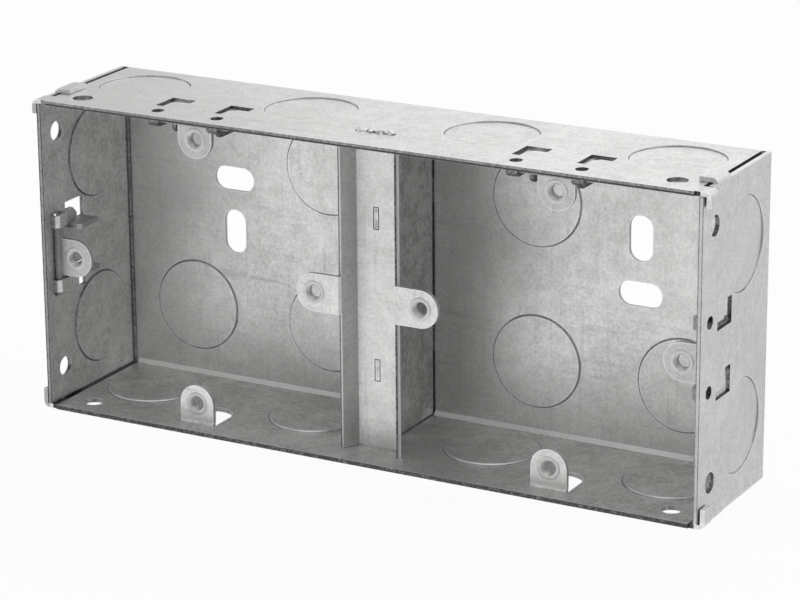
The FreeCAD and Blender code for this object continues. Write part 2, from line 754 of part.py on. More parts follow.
PIECES = {
    "box_shell": box_shell(),
    "divider_channel": divider_channel(),
    "partition_plate": partition_plate(),
}
for name, wall, hand, hole in SLIDE_WALLS:
    PIECES[name + "_lug"] = sliding_lug(name, wall, hole)

DOCUMENT.recompute()

for feature in DOCUMENT.Objects:
    if "Invalid" in feature.State or "Error" in feature.State:
        raise RuntimeError("feature not built: " + feature.Label)

os.makedirs("parts", exist_ok=True)
for label, piece in PIECES.items():
    piece.Label = label
    shape = piece.Shape
    if shape.isNull() or not shape.isValid() or len(shape.Solids) != 1:
        raise RuntimeError("piece not sound: %s, %d solids" % (label, len(shape.Solids)))
    shape.exportStep("parts/" + label + ".step")
    print(label, "%.1f mm3" % shape.Volume, shape.BoundBox)
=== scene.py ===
import json
import math
from collections import namedtuple

import bmesh
import bpy
from bpy.props import FloatProperty, FloatVectorProperty, IntProperty, PointerProperty
from mathutils import Matrix, Vector
from mathutils.noise import noise as noise_at


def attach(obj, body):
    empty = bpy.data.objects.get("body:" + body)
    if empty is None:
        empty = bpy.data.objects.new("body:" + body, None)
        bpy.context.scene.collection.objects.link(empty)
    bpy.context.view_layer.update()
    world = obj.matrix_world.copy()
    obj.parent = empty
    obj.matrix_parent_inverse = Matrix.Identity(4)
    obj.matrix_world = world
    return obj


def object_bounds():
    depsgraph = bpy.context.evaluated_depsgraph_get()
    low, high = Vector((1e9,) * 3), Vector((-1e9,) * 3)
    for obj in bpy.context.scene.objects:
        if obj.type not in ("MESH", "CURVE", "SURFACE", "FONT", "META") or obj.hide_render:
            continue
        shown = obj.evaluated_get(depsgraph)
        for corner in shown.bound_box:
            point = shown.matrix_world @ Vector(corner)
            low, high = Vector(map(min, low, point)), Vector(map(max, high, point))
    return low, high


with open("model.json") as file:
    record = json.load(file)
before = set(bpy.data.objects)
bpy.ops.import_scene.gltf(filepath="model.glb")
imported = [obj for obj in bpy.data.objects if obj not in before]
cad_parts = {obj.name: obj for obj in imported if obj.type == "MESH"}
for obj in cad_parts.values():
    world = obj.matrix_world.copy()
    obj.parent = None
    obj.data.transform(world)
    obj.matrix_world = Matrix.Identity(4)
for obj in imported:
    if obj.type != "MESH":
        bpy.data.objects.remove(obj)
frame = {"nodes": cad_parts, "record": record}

bl_info = {
    "name": "Flush back box",
    "version": (1, 0, 0),
    "blender": (4, 5, 0),
    "location": "View3D > Sidebar > Back box",
    "description": "Finishes a folded steel back box and sets it in a studio",
    "category": "Object",
}

CAD_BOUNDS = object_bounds()
MM = 0.001
WHITE = (1.0, 1.0, 1.0, 1.0)

# Planes of the shell: mid height, the middle of a bay, the walls' outer faces, and the sheet's thickness
MIDDLE = 36.6 * MM
BAY = 43.0 * MM
TOP = 72.1 * MM
BOTTOM = 1.1 * MM
END = 79.0 * MM
FRONT = CAD_BOUNDS[0][1]
BACK = CAD_BOUNDS[1][1]
SHEET = 1.0 * MM

# The body that each screw hole rides on, by the words in its mount's name
HOLE_BODIES = {
    "left_bay_top": "top_left_slider",
    "right_bay_top": "top_right_slider",
    "left_bay_left": "left_slider",
    "right_bay_right": "right_slider",
}
SLIDING_LUGS = ("top_left_lug", "top_right_lug", "left_lug", "right_lug")

# Where a point of the shell lies. Reach is its distance from the box's middle along X, rise its distance from
# mid height, and bay its distance from the middle of a bay along X.
Places = namedtuple("Places", ("x", "y", "z", "reach", "rise", "bay"))

# Limits of the shell's marks. Span is the distance from the middle of a slide along its wall, depth is along
# Y, height along Z, and across is along X with its sign.
FRONT_EDGE_DEPTH = FRONT + 0.02 * MM
FOLD_DEPTH = 15.9 * MM
INSIDE_RISE = 34.4 * MM
FORWARD_DEPTH = -9.3 * MM
END_LANCE_SPAN = 10.6 * MM
END_LANCE_DEPTH = -2.2 * MM
LONG_LANCE_SPAN = 10.8 * MM
SLIT_START_REACH = 76.8 * MM
END_SHEET_REACH = (78.03 * MM, 78.97 * MM)
END_SHEET_MIDDLE = 78.5 * MM
END_RIM_OFFSET = 0.27 * MM
LONG_SHEET_RISE = (34.53 * MM, 35.47 * MM)
LONG_SHEET_REACH = 78.05 * MM
BACK_SHEET_DEPTH = (16.53 * MM, 17.47 * MM)
BACK_SLOT_REACH = (43.0 * MM, 57.0 * MM)
BACK_SLOT_HEIGHT = (MIDDLE - 6.0 * MM, MIDDLE + 20.0 * MM)
LOOP_DEPTH = -10.8 * MM
LOOP_SPAN = (6.0 * MM, 8.8 * MM)
LONG_LOOP_RISE = (31.3 * MM, 34.48 * MM)
END_LOOP_REACH = (76.7 * MM, 77.98 * MM)
GUIDE_DEPTH = (-10.4 * MM, -2.8 * MM)
GUIDE_SPAN = (4.85 * MM, 5.95 * MM)
LONG_GUIDE_RISE = (30.0 * MM, 34.45 * MM)
END_GUIDE_REACH = (73.5 * MM, 77.95 * MM)
LEFT_FOLD_ACROSS = (-78.2 * MM, -77.35 * MM)
LEFT_FOLD_DEPTH = (15.5 * MM, 17.0 * MM)
TOP_RIM_RISE = (34.4 * MM, 34.9 * MM)
LEFT_TAB_ACROSS = -79.02 * MM
LEFT_TAB_HEIGHT = 71.0 * MM
SLIT_REACH = (76.85 * MM, 78.05 * MM)
SLIT_RISE = (34.25 * MM, 35.46 * MM)
SEAM_ACROSS = (0.4 * MM, 0.75 * MM)
SEAM_DEPTH = (16.4 * MM, 16.6 * MM)
MOTTLED_REACH = (77.6 * MM, 78.02 * MM)
MOTTLED_RISE = (34.1 * MM, 34.52 * MM)

# How dark each of the shell's marks is, from 0 to 1. Those named for shade are painted shade; the cuts and
# front rims are partly the darker cut steel and partly painted shade.
SHELL_DARKNESS = {
    "end_cut": 0.85,
    "long_cut": 0.72,
    "back_cut": 0.5,
    "end_rims": 0.5,
    "long_loops": 0.8,
    "end_loops": 0.7,
    "long_guides": 0.85,
    "end_guides": 0.45,
    "right_rim": 0.25,
    "fold": 0.75,
    "top_rim": 0.5,
    "sill": 0.35,
    "left_rim": 0.65,
    "left_tabs": 0.45,
    "slit": 1.0,
    "seam": 0.8,
}

# Limits and darkness of the marks on the lugs, the channel, the partition and the knockouts' shoulders, which
# are painted shade, some of them partly the darker cut steel
LUG_FRONT_DEPTH = -14.5 * MM
LUG_BACK_REACH = 77.6 * MM
LUG_BACK_HEIGHT = 70.7 * MM
LUG_FRONT_DARKNESS = 0.6
LUG_BACK_SHADE = 0.45
BEHIND_LUGS_DEPTH = -11.9 * MM
LIP_DEPTH = -8.05 * MM
LEFT_LIP_INSIDE = (-6.47 * MM, -4.6 * MM)
LIP_EDGE_DEPTH = -11.0 * MM
LEFT_LIP_EDGE = (-7.4 * MM, -6.9 * MM)
RIGHT_LIP_EDGE = (6.3 * MM, 6.85 * MM)
LIP_SHADE = 0.47
LIP_EDGE_DARKNESS = 0.8
PARTITION_REAR_DEPTH = 15.9 * MM
PARTITION_REAR_SHADE = 0.9
PARTITION_MOTTLE = 1.7
SHADED_END_ACROSS = -77.0 * MM
SHADED_RIM_DARKNESS = 0.8

# Noise of the zinc: features per metre, detail, roughness, and the two limits that spread it from 0 to 1
ZINC_NOISE = {
    "grain": (1500.0, 3.0, 0.62, 0.28, 0.72),
    "clouds": (330.0, 4.0, 0.62, 0.3, 0.7),
    "blotches": (42.0, 5.0, 0.6, 0.32, 0.68),
    "stains": (30.0, 4.0, 0.55, 0.55, 0.78),
    "pits": (900.0, 2.0, 0.5, 0.72, 0.79),
    "speckle": (1050.0, 4.0, 0.75, 0.3, 0.7),
    "smudge": (150.0, 4.0, 0.65, 0.3, 0.7),
}
# Rolling scratches: the noise itself, the stretch and turn of the flat and the upright ones, and their limits
SCRATCH_NOISE = (800.0, 3.0, 0.6)
SCRATCH_LINES = (
    ((0.05, 1.0, 1.0), (0.0, 0.1, 0.05)),
    ((1.0, 1.0, 0.05), (0.05, 0.06, 0.0)),
)
SCRATCH_LIMITS = (0.52, 0.8)
# Noise of the relief alone
WAVE_NOISE = (120.0, 3.0, 0.5)
PEEL_NOISE = (2300.0, 2.0, 0.6)
# What each layer adds to the wear, the mottling and the relief
WEAR_WEIGHTS = {"grain": 0.42, "clouds": 0.22, "blotches": 0.2, "streaks": 0.3}
MOTTLE_WEIGHTS = {"speckle": 0.7, "smudge": 0.6}
MOTTLE_MEAN = 0.65
RELIEF_WEIGHTS = {"waves": 0.8, "clouds": 0.25, "peel": 0.5, "streaks": -0.15, "pits": -0.3}
RELIEF_STRENGTH = 0.6
RELIEF_HEIGHT = 0.12 * MM
STAIN_STRENGTH = 0.3
PIT_STRENGTH = 0.6
# Dark marks are strongest at the first value, and the grain takes some of it away
MARK_STRENGTH = 1.2
MARK_GRAIN = -0.5
# Openness of a point below which a rim gets a painted highlight, or a gap gets painted shade
EDGE_HIGHLIGHT_LIMITS = (0.9, 0.55)
SHADE_LIMITS = (0.42, 0.1)
SHADE_STRENGTH = 0.85
OPENNESS_SAMPLES = 8

# Torn steel: its noise, the limits that spread it, and its finish
TORN_NOISE = (260.0, 4.0, 0.65)
TORN_LIMITS = (0.35, 0.7)
TORN_METALLIC = 0.6
TORN_ROUGHNESS = 0.55

# Threads: how deep they start, how deep the collar is seated, where a crest starts and ends in a pitch, and
# how much narrower the collar's end is. The bead is given by its width past the hole and its depth from the
# lug's face.
THREAD_START = 0.08 * MM
THREAD_SEAT = 0.02 * MM
THREAD_CREST = (0.4, 0.6)
COLLAR_TAPER = 0.25 * MM
BEAD_PROFILE = (
    (0.03 * MM, 0.05 * MM),
    (0.03 * MM, -0.02 * MM),
    (0.3 * MM, -0.12 * MM),
    (0.75 * MM, -0.07 * MM),
    (0.95 * MM, 0.05 * MM),
)

# Knockouts: their middles along Y in the walls, across the long walls from the box's middle, above and below
# mid height in the end walls, and across and up from a bay's middle in the back
KNOCKOUT_DEPTH = 3.0 * MM
LONG_KNOCKOUTS = (64.2 * MM, 21.8 * MM)
END_KNOCKOUT_RISE = 19.5 * MM
BACK_KNOCKOUT_ACROSS = 17.3 * MM
BACK_KNOCKOUT_RISE = 18.2 * MM
# Rings round a knockout: how deep they are sunk, how far they lap over an edge, the low side of a burr, the
# width of the shoulder and how far it ends below the step
RING_SUNK = 0.03 * MM
RING_LAP = 0.01 * MM
BURR_LOW_SIDE = 0.01 * MM
SHOULDER_WIDTH = 0.2 * MM
SHOULDER_DROP = 0.02 * MM

# Inner folds: where they start beside the partition, their corner, their length and the steps of their arc
FOLD_START = 0.8 * MM
FOLD_CORNER_DEPTH = 16.52 * MM
FOLD_CORNER_RISE = 34.52 * MM
FOLD_LENGTH = 76.0 * MM
FOLD_STEPS = 10

# Lumps of the peened tabs, and dark flattened balls between them as their painted shadows: place across the
# box, and length as a share of the mark's width
STAKE_LUMPS = (
    (-3.4 * MM, 0.85),
    (-1.3 * MM, 0.55),
    (1.1 * MM, 0.8),
    (3.3 * MM, 0.5),
)
STAKE_SHADOWS = (
    (-4.5 * MM, 0.35),
    (-2.3 * MM, 0.3),
    (0.0, 0.45),
    (2.3 * MM, 0.3),
    (4.2 * MM, 0.2),
)
# Their depth and height as shares of the same width, and where they lie along Y
LUMP_SHARES = (0.62, 0.6)
STAKE_SHADOW_SHARES = (0.6, 0.08)
LUMP_DEPTH = -7.5 * MM
LUMP_STAGGER = 0.15 * MM
STAKE_SHADOW_DEPTH = -7.4 * MM
LUMP_ROUGHNESS = 0.5
LUMP_GRAIN = 1.3
LUMP_SEED_STEP = 7.0
WALL_SEED_STEP = 3.0

MERGE_DISTANCE = 1e-7
SHARP_ANGLE = math.radians(35.0)

# Lamps: place, size and power. Cards: place, width and height, and the setting that holds their grey.
LAMPS = (
    ("key_lamp", (-0.5, 1.0, 1.0), 1.0, 0.6),
    ("fill_lamp", (0.9, 0.5, 0.9), 1.0, 0.5),
)
FLAGS = (
    ("front_flag", (0.62, -1.14, 0.0), (1.08, 1.7), "dark_card"),
    ("high_flag", (-0.7, -0.89, 0.66), (1.3, 0.95), "dark_card"),
    ("left_flag", (-1.1, 0.83, 0.3), (1.0, 1.3), "grey_card"),
    ("right_flag", (0.9, 1.2, -0.35), (1.6, 1.3), "pale_card"),
)
FLOOR_GAP = 0.02 * MM
FLOOR_ROUGHNESS = 0.9
SENSOR_WIDTH = 36.0
CLIP_RANGE = (0.01, 50.0)

# Shader nodes are laid out in rows, in the order in which they are made
NODES_IN_ROW = 12
NODE_WIDTH = 200
NODE_HEIGHT = 280


class BackBoxSteel(bpy.types.PropertyGroup):
    """The galvanised finish."""

    bright: FloatVectorProperty(
        name="Bright zinc", description="Colour of clean zinc",
        subtype="COLOR", size=4, default=(0.84, 0.84, 0.832, 1.0), min=0.0, max=1.0)
    dull: FloatVectorProperty(
        name="Dull zinc", description="Colour of the darker blotches",
        subtype="COLOR", size=4, default=(0.56, 0.56, 0.552, 1.0), min=0.0, max=1.0)
    stain: FloatVectorProperty(
        name="Stain", description="Colour of the faint stains",
        subtype="COLOR", size=4, default=(0.6, 0.59, 0.57, 1.0), min=0.0, max=1.0)
    speck: FloatVectorProperty(
        name="Speck", description="Colour of pits and specks",
        subtype="COLOR", size=4, default=(0.2, 0.2, 0.2, 1.0), min=0.0, max=1.0)
    # Colour of the dark marks, partly the darker cut steel and partly painted shade, and of the painted shade
    # in the gaps
    cut_edge_and_shade: FloatVectorProperty(
        name="Cut edge", description="Colour of sheared edges and of dirt in the gaps",
        subtype="COLOR", size=4, default=(0.07, 0.07, 0.07, 1.0), min=0.0, max=1.0)
    # Painted highlight on the rims of the sheets: its colour, and below, how wide it reaches
    rim_highlight: FloatVectorProperty(
        name="Worn edge", description="Colour of the rubbed rims of the sheets",
        subtype="COLOR", size=4, default=(0.97, 0.97, 0.96, 1.0), min=0.0, max=1.0)
    highlight_reach: FloatProperty(
        name="Wear reach", description="Width of the rubbed rims", default=0.4 * MM, unit="LENGTH")
    # How far painted shade reaches into gaps and crevices, which are darkened where the space round a point
    # is closed
    shade_reach: FloatProperty(
        name="Dirt reach", description="Width of the gaps that hold dirt", default=1.6 * MM, unit="LENGTH")
    metallic: FloatProperty(
        name="Metallic", description="How much the zinc reflects as metal",
        default=0.94, min=0.0, max=1.0, subtype="FACTOR")
    smooth: FloatProperty(
        name="Smoothest", description="Roughness of the smoothest patches",
        default=0.36, min=0.0, max=1.0, subtype="FACTOR")
    rough: FloatProperty(
        name="Roughest", description="Roughness of the dullest patches",
        default=0.54, min=0.0, max=1.0, subtype="FACTOR")


class BackBoxDetails(bpy.types.PropertyGroup):
    """Sizes of the small details."""

    thread_pitch: FloatProperty(
        name="Thread pitch", description="Pitch of the screw threads", default=0.6 * MM, unit="LENGTH")
    thread_depth: FloatProperty(
        name="Thread depth", description="Height of a thread", default=0.28 * MM, unit="LENGTH")
    collar_radius: FloatProperty(
        name="Collar radius", description="Outside radius of the plunged collars",
        default=2.5 * MM, unit="LENGTH")
    collar_length: FloatProperty(
        name="Collar length", description="How far a collar stands behind its lug",
        default=1.0 * MM, unit="LENGTH")
    knockout_radius: FloatProperty(
        name="Knockout radius", description="Radius of the knockouts", default=10.2 * MM, unit="LENGTH")
    knockout_step: FloatProperty(
        name="Knockout step", description="How far a knockout is pushed in", default=0.35 * MM, unit="LENGTH")
    line_width: FloatProperty(
        name="Shear line", description="Width of the line round a knockout", default=0.2 * MM, unit="LENGTH")
    line_height: FloatProperty(
        name="Shear burr", description="Height of the burr round a knockout",
        default=0.05 * MM, unit="LENGTH")
    fold_radius: FloatProperty(
        name="Inner fold", description="Radius inside the folds of the long walls",
        default=0.9 * MM, unit="LENGTH")
    stake_width: FloatProperty(
        name="Stake mark", description="Width of one lump of peened metal", default=1.4 * MM, unit="LENGTH")
    round_steps: IntProperty(
        name="Steps in a circle", description="Segments of the round details", default=96)


class BackBoxStage(bpy.types.PropertyGroup):
    """Camera, floor, light of the room and greys of the cards."""

    camera_place: FloatVectorProperty(
        name="Camera place", description="Where the camera stands",
        subtype="XYZ", unit="LENGTH", default=(0.33543, -0.60458, 0.25708))
    camera_target: FloatVectorProperty(
        name="Camera target", description="Point the camera looks at",
        subtype="XYZ", unit="LENGTH", default=(0.00125, -0.00012, 0.0334))
    camera_roll: FloatProperty(
        name="Camera roll", description="Tilt of the camera about its own line of sight",
        subtype="ANGLE", default=math.radians(-0.44))
    lens: FloatProperty(name="Lens", description="Focal length in millimetres", default=152.76)
    floor_size: FloatProperty(name="Floor size", description="Side of the floor", default=6.0, unit="LENGTH")
    floor_colour: FloatVectorProperty(
        name="Floor", description="Colour of the floor",
        subtype="COLOR", size=4, default=(0.9, 0.9, 0.9, 1.0), min=0.0, max=1.0)
    floor_glow: FloatProperty(
        name="Floor white", description="How much of the floor shows as plain white",
        default=0.93, min=0.0, max=1.0, subtype="FACTOR")
    room_light: FloatProperty(
        name="Room light", description="Strength of the even light of the room", default=0.8)
    dark_card: FloatVectorProperty(
        name="Dark card", description="Colour of the cards that shade the inside",
        subtype="COLOR", size=4, default=(0.15, 0.15, 0.15, 1.0), min=0.0, max=1.0)
    grey_card: FloatVectorProperty(
        name="Grey card", description="Colour of the card that shades the top",
        subtype="COLOR", size=4, default=(0.35, 0.35, 0.35, 1.0), min=0.0, max=1.0)
    pale_card: FloatVectorProperty(
        name="Pale card", description="Colour of the card that shades the right end",
        subtype="COLOR", size=4, default=(0.72, 0.72, 0.73, 1.0), min=0.0, max=1.0)


def steel_settings():
    return bpy.context.scene.back_box_steel


def detail_settings():
    return bpy.context.scene.back_box_details


def stage_settings():
    return bpy.context.scene.back_box_stage


def add_node(tree, kind, **values):
    """A shader node with its settings, after the nodes made so far."""
    row, column = divmod(len(tree.nodes), NODES_IN_ROW)
    node = tree.nodes.new(kind)
    node.location = (NODE_WIDTH * (column - NODES_IN_ROW), -NODE_HEIGHT * row)
    for name, value in values.items():
        setattr(node, name, value)
    return node


def set_inputs(node, **values):
    """Sets a node's sockets by name, with spaces written as underscores."""
    for name, value in values.items():
        node.inputs[name.replace("_", " ")].default_value = value


def feed(tree, sockets, values):
    """Links each socket to its value where that is a socket too, and otherwise sets it."""
    for socket, value in zip(sockets, values):
        if isinstance(value, bpy.types.NodeSocket):
            tree.links.new(value, socket)
        else:
            socket.default_value = value


def math_node(tree, operation, *values):
    """The result of a Math node for sockets or numbers."""
    node = add_node(tree, "ShaderNodeMath", operation=operation)
    feed(tree, node.inputs, values)
    return node.outputs[0]


def add_up(tree, parts, start=0.0):
    """Sockets added to a starting value, each with its own weight."""
    total = start
    for socket, weight in parts:
        total = math_node(tree, "MULTIPLY_ADD", socket, weight, total)
    return total


def weigh(tree, layers, weights):
    """The named layers added up by their weights."""
    return add_up(tree, [(layers[name], weight) for name, weight in weights.items()])


def over(tree, value, limit):
    """1 where a value is over a limit, and 0 elsewhere."""
    return math_node(tree, "GREATER_THAN", value, limit)


def under(tree, value, limit):
    """1 where a value is under a limit, and 0 elsewhere."""
    return math_node(tree, "LESS_THAN", value, limit)


def between(tree, value, limits):
    """1 where a value lies between two limits, and 0 elsewhere."""
    low, high = limits
    return both(tree, over(tree, value, low), under(tree, value, high))


def both(tree, *masks):
    """1 where every mask is 1."""
    found = masks[0]
    for mask in masks[1:]:
        found = math_node(tree, "MULTIPLY", found, mask)
    return found


def either(tree, *masks):
    """The greatest of the masks."""
    found = masks[0]
    for mask in masks[1:]:
        found = math_node(tree, "MAXIMUM", found, mask)
    return found


def opposite(tree, mask):
    """1 where a mask is 0, and 0 where it is 1."""
    return math_node(tree, "SUBTRACT", 1.0, mask)


def distance(tree, value, middle):
    """How far a value lies from a middle, to either side."""
    return math_node(tree, "ABSOLUTE", math_node(tree, "SUBTRACT", value, middle))


def blend_colours(tree, factor, first, second):
    """A colour between two, by a factor."""
    node = add_node(tree, "ShaderNodeMix", data_type="RGBA")
    sockets = {socket.identifier: socket for socket in node.inputs}
    feed(tree, (sockets["Factor_Float"], sockets["A_Color"], sockets["B_Color"]), (factor, first, second))
    return next(socket for socket in node.outputs if socket.identifier == "Result_Color")


def ramp(tree, value, limits):
    """A value spread smoothly from 0 to 1 between two limits."""
    node = add_node(tree, "ShaderNodeMapRange", interpolation_type="SMOOTHSTEP")
    low, high = limits
    set_inputs(node, From_Min=low, From_Max=high)
    tree.links.new(value, node.inputs["Value"])
    return node.outputs["Result"]


def noise(tree, place, scale, detail, roughness):
    """Noise on the given coordinates, in features per metre."""
    node = add_node(tree, "ShaderNodeTexNoise")
    set_inputs(node, Scale=scale, Detail=detail, Roughness=roughness)
    tree.links.new(place, node.inputs["Vector"])
    return node.outputs["Fac"]


def stretched(tree, place, scale, turn):
    """Coordinates that draw noise out along a line."""
    node = add_node(tree, "ShaderNodeMapping")
    set_inputs(node, Scale=scale, Rotation=turn)
    tree.links.new(place, node.inputs["Vector"])
    return node.outputs["Vector"]


def openness(tree, distance_seen, **choices):
    """How open the space round a point is, from 0 to 1."""
    node = add_node(tree, "ShaderNodeAmbientOcclusion", samples=OPENNESS_SAMPLES, **choices)
    set_inputs(node, Distance=distance_seen)
    return node.outputs["AO"]


def cut_and_shade_marks(tree, at):
    """The sheared walls of holes, slots and slits, through each sheet, darkened partly as the darker cut
    steel and partly as painted shade in the openings.
    """
    behind = over(tree, at.y, FRONT_EDGE_DEPTH)
    forward = under(tree, at.y, FORWARD_DEPTH)
    end_lances = both(tree, under(tree, at.rise, END_LANCE_SPAN), under(tree, at.y, END_LANCE_DEPTH))
    long_lances = under(tree, at.bay, LONG_LANCE_SPAN)
    slits = over(tree, at.reach, SLIT_START_REACH)
    return {
        "end_cut": both(tree, between(tree, at.reach, END_SHEET_REACH), under(tree, at.rise, INSIDE_RISE),
                        behind, either(tree, forward, end_lances)),
        "long_cut": both(tree, between(tree, at.rise, LONG_SHEET_RISE),
                         under(tree, at.reach, LONG_SHEET_REACH), under(tree, at.y, FOLD_DEPTH),
                         either(tree, forward, long_lances, slits)),
        "back_cut": both(tree, between(tree, at.y, BACK_SHEET_DEPTH),
                         between(tree, at.reach, BACK_SLOT_REACH), between(tree, at.z, BACK_SLOT_HEIGHT)),
    }


def front_marks(tree, at):
    """The sheared front edges of the walls, darkened partly as the darker cut steel and partly as painted
    shade, the left end's more than the right's, and the tabs of the left end.
    """
    front = opposite(tree, over(tree, at.y, FRONT_EDGE_DEPTH))
    inside = under(tree, at.rise, INSIDE_RISE)
    upper = over(tree, at.z, MIDDLE)
    left = under(tree, at.x, 0.0)
    off_middle = over(tree, distance(tree, at.reach, END_SHEET_MIDDLE), END_RIM_OFFSET)
    return {
        "end_rims": both(tree, front, inside, off_middle),
        "left_rim": both(tree, front, inside, left),
        "right_rim": both(tree, front, inside, opposite(tree, left)),
        "top_rim": both(tree, front, upper, between(tree, at.rise, TOP_RIM_RISE)),
        "sill": both(tree, front, opposite(tree, upper), over(tree, at.rise, INSIDE_RISE)),
        "left_tabs": both(tree, under(tree, at.x, LEFT_TAB_ACROSS), under(tree, at.z, LEFT_TAB_HEIGHT)),
    }


def slide_shade_marks(tree, at):
    """Painted shade on the drawn loops and the bent guides of the slides, in the long walls and in the ends.
    """
    near = under(tree, at.y, LOOP_DEPTH)
    along = between(tree, at.y, GUIDE_DEPTH)
    return {
        "long_loops": both(tree, near, between(tree, at.bay, LOOP_SPAN),
                           between(tree, at.rise, LONG_LOOP_RISE)),
        "end_loops": both(tree, near, between(tree, at.rise, LOOP_SPAN),
                          between(tree, at.reach, END_LOOP_REACH)),
        "long_guides": both(tree, along, between(tree, at.bay, GUIDE_SPAN),
                            between(tree, at.rise, LONG_GUIDE_RISE)),
        "end_guides": both(tree, along, between(tree, at.rise, GUIDE_SPAN),
                           between(tree, at.reach, END_GUIDE_REACH)),
    }


def joint_shade_marks(tree, at):
    """Painted shade along the fold at the left end, in the corner slits but for the top left one, and along
    the partition's seam.
    """
    closed = both(tree, over(tree, at.z, MIDDLE), under(tree, at.x, 0.0))
    return {
        "fold": both(tree, between(tree, at.x, LEFT_FOLD_ACROSS), between(tree, at.y, LEFT_FOLD_DEPTH)),
        "slit": both(tree, under(tree, at.y, FOLD_DEPTH), opposite(tree, closed),
                     between(tree, at.reach, SLIT_REACH), between(tree, at.rise, SLIT_RISE)),
        "seam": both(tree, between(tree, at.x, SEAM_ACROSS), under(tree, at.rise, INSIDE_RISE),
                     between(tree, at.y, SEAM_DEPTH)),
    }


def shell_marks(tree, axes):
    """Where the shell is darkened, partly as the darker cut steel and mostly as painted shade, and the inner
    faces of its walls, which are mottled.
    """
    x, y, z = axes
    reach = math_node(tree, "ABSOLUTE", x)
    at = Places(x, y, z, reach, rise=distance(tree, z, MIDDLE), bay=distance(tree, reach, BAY))
    masks = {}
    for marks in (cut_and_shade_marks, front_marks, slide_shade_marks, joint_shade_marks):
        masks.update(marks(tree, at))
    inner_faces = either(tree, between(tree, at.reach, MOTTLED_REACH), between(tree, at.rise, MOTTLED_RISE))
    return weigh(tree, masks, SHELL_DARKNESS), inner_faces


def lug_marks(tree, axes):
    """Where a sliding lug is darkened: the sheared front edges of its wings, partly as the darker cut steel
    and partly as painted shade, and its back against the wall, as painted shade.
    """
    x, y, z = axes
    front = under(tree, y, LUG_FRONT_DEPTH)
    end_back = over(tree, math_node(tree, "ABSOLUTE", x), LUG_BACK_REACH)
    top_back = over(tree, z, LUG_BACK_HEIGHT)
    parts = ((front, LUG_FRONT_DARKNESS), (end_back, LUG_BACK_SHADE), (top_back, LUG_BACK_SHADE))
    return add_up(tree, parts), None


def channel_marks(tree, axes):
    """Where the divider's channel is darkened: inside the left lip as painted shade, and along the sheared
    edges of both lips, partly as the darker cut steel and partly as painted shade.
    """
    x, y, _ = axes
    behind_lugs = over(tree, y, BEHIND_LUGS_DEPTH)
    inner = both(tree, behind_lugs, between(tree, x, LEFT_LIP_INSIDE), under(tree, y, LIP_DEPTH))
    edges = either(tree, between(tree, x, LEFT_LIP_EDGE), between(tree, x, RIGHT_LIP_EDGE))
    edge = both(tree, behind_lugs, under(tree, y, LIP_EDGE_DEPTH), edges)
    return add_up(tree, ((inner, LIP_SHADE), (edge, LIP_EDGE_DARKNESS))), None


def partition_marks(tree, axes):
    """Painted shade along the partition's rear edge, by the back plate, with strong mottling all over it."""
    rear = over(tree, axes[1], PARTITION_REAR_DEPTH)
    return math_node(tree, "MULTIPLY", rear, PARTITION_REAR_SHADE), PARTITION_MOTTLE


def rim_marks(tree, axes):
    """The knockouts' shoulders are in shade on the left end wall."""
    shaded = under(tree, axes[0], SHADED_END_ACROSS)
    return math_node(tree, "MULTIPLY", shaded, SHADED_RIM_DARKNESS), None


def zinc_layer(tree, place, name):
    """One of the zinc's noises, spread from 0 to 1."""
    scale, detail, roughness, low, high = ZINC_NOISE[name]
    return ramp(tree, noise(tree, place, scale, detail, roughness), (low, high))


def zinc_layers(tree, place):
    """The layers that every zinc has, by name."""
    layers = {}
    for name in ("grain", "clouds", "blotches", "stains", "pits"):
        layers[name] = zinc_layer(tree, place, name)
    lines = []
    for scale, turn in SCRATCH_LINES:
        lines.append(noise(tree, stretched(tree, place, scale, turn), *SCRATCH_NOISE))
    layers["streaks"] = ramp(tree, either(tree, *lines), SCRATCH_LIMITS)
    layers["waves"] = noise(tree, place, *WAVE_NOISE)
    layers["peel"] = noise(tree, place, *PEEL_NOISE)
    return layers


def mottled(tree, place, worn, mottle):
    """Wear with coarse mottling on top, where the mask or number given asks for it."""
    layers = {name: zinc_layer(tree, place, name) for name in MOTTLE_WEIGHTS}
    uneven = math_node(tree, "SUBTRACT", weigh(tree, layers, MOTTLE_WEIGHTS), MOTTLE_MEAN)
    return math_node(tree, "ADD", worn, math_node(tree, "MULTIPLY", uneven, mottle))


def shade(colour, brightness):
    """A colour made brighter or darker."""
    return [part * brightness for part in colour[:3]] + [1.0]


